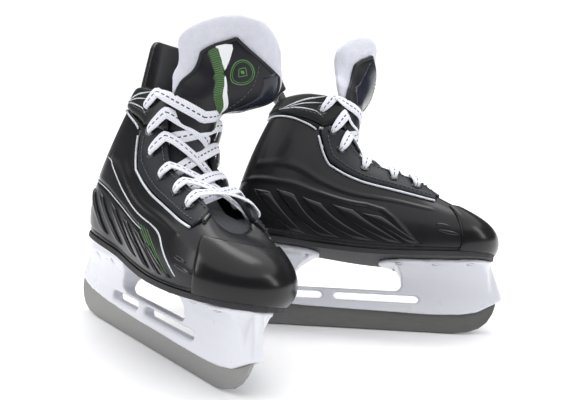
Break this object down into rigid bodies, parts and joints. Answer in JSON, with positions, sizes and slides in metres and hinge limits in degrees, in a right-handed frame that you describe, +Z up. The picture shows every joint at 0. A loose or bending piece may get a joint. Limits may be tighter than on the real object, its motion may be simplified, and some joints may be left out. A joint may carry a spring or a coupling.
{
  "type": "pair of hockey skates",
  "caption": "Pair of hockey ice skates: moulded black boots with felt tongues, flat laces, white blade holders and steel runners.",
  "frame": {"origin": "middle of the pair in plan, on the floor the blades stand on", "axes": "+Z up, +X the way the left skate's toe points, +Y away from the viewer's side, towards the lean of both boots"},
  "size_m": [0.3786, 0.3308, 0.2654],
  "materials": {
    "shell_plastic": "satin",
    "toe_plastic": "gloss",
    "sole_plastic": "matt",
    "board": "matt",
    "liner_fabric": "brushed",
    "dark_vinyl": "grained",
    "silver_trim": "satin",
    "eyelet_metal": "gloss",
    "lace_fabric": "woven",
    "tongue_fabric": "woven",
    "felt": "felted",
    "face_vinyl": "grained",
    "guard_plastic": "satin",
    "holder_plastic": "satin",
    "rivet_steel": "satin",
    "runner_steel": "ground",
    "hardware": "satin"
  },
  "bodies": {
    "pair": {"right_boot_shell": "shell_plastic", "right_toe_cap": "toe_plastic", "right_outsole": "sole_plastic", "right_insole_board": "board", "right_footbed": "liner_fabric", "right_ankle_liner": "liner_fabric", "right_collar": "dark_vinyl", "right_outer_facing": "dark_vinyl", "right_inner_facing": "dark_vinyl", "right_piping": "silver_trim", "right_outer_ribs": "shell_plastic", "right_inner_ribs": "shell_plastic", "right_eyelets": "eyelet_metal", "right_lace": "lace_fabric", "right_tongue_base": "tongue_fabric", "right_holder": "holder_plastic", "right_rivets": "rivet_steel", "right_rivet_washers": "rivet_steel", "right_runner": "runner_steel", "right_runner_bolts": "hardware", "right_barrel_nuts": "hardware", "left_boot_shell": "shell_plastic", "left_toe_cap": "toe_plastic", "left_outsole": "sole_plastic", "left_insole_board": "board", "left_footbed": "liner_fabric", "left_ankle_liner": "liner_fabric", "left_collar": "dark_vinyl", "left_outer_facing": "dark_vinyl", "left_inner_facing": "dark_vinyl", "left_piping": "silver_trim", "left_outer_ribs": "shell_plastic", "left_inner_ribs": "shell_plastic", "left_eyelets": "eyelet_metal", "left_lace": "lace_fabric", "left_tongue_base": "tongue_fabric", "left_holder": "holder_plastic", "left_rivets": "rivet_steel", "left_rivet_washers": "rivet_steel", "left_runner": "runner_steel", "left_runner_bolts": "hardware", "left_barrel_nuts": "hardware"},
    "right_tongue_top": {"right_tongue_felt": "felt", "right_tongue_face": "face_vinyl"},
    "right_guard": {"right_tendon_guard": "guard_plastic"},
    "left_tongue_top": {"left_tongue_felt": "felt", "left_tongue_face": "face_vinyl"},
    "left_guard": {"left_tendon_guard": "guard_plastic"}
  },
  "joints": [
    {"name": "right_tongue_fold", "type": "hinge", "parent": "pair", "child": "right_tongue_top", "pos_m": [-0.07117, -0.0343, 0.19833], "axis": [0.7589, 0.608, -0.2334], "range_deg": [0, 60]},
    {"name": "right_guard_flex", "type": "hinge", "parent": "pair", "child": "right_guard", "pos_m": [-0.12213, 0.03006, 0.20027], "axis": [0.7589, 0.608, -0.2334], "range_deg": [-53, 3], "stiffness_Nm_per_rad": 0.3},
    {"name": "left_tongue_fold", "type": "hinge", "parent": "pair", "child": "left_tongue_top", "pos_m": [0.06169, 0.0863, 0.188], "axis": [0.053, 0.919, -0.3907], "range_deg": [0, 60]},
    {"name": "left_guard_flex", "type": "hinge", "parent": "pair", "child": "left_guard", "pos_m": [-0.02023, 0.09181, 0.18984], "axis": [0.053, 0.919, -0.3907], "range_deg": [-22, 34], "stiffness_Nm_per_rad": 0.3}
  ]
}
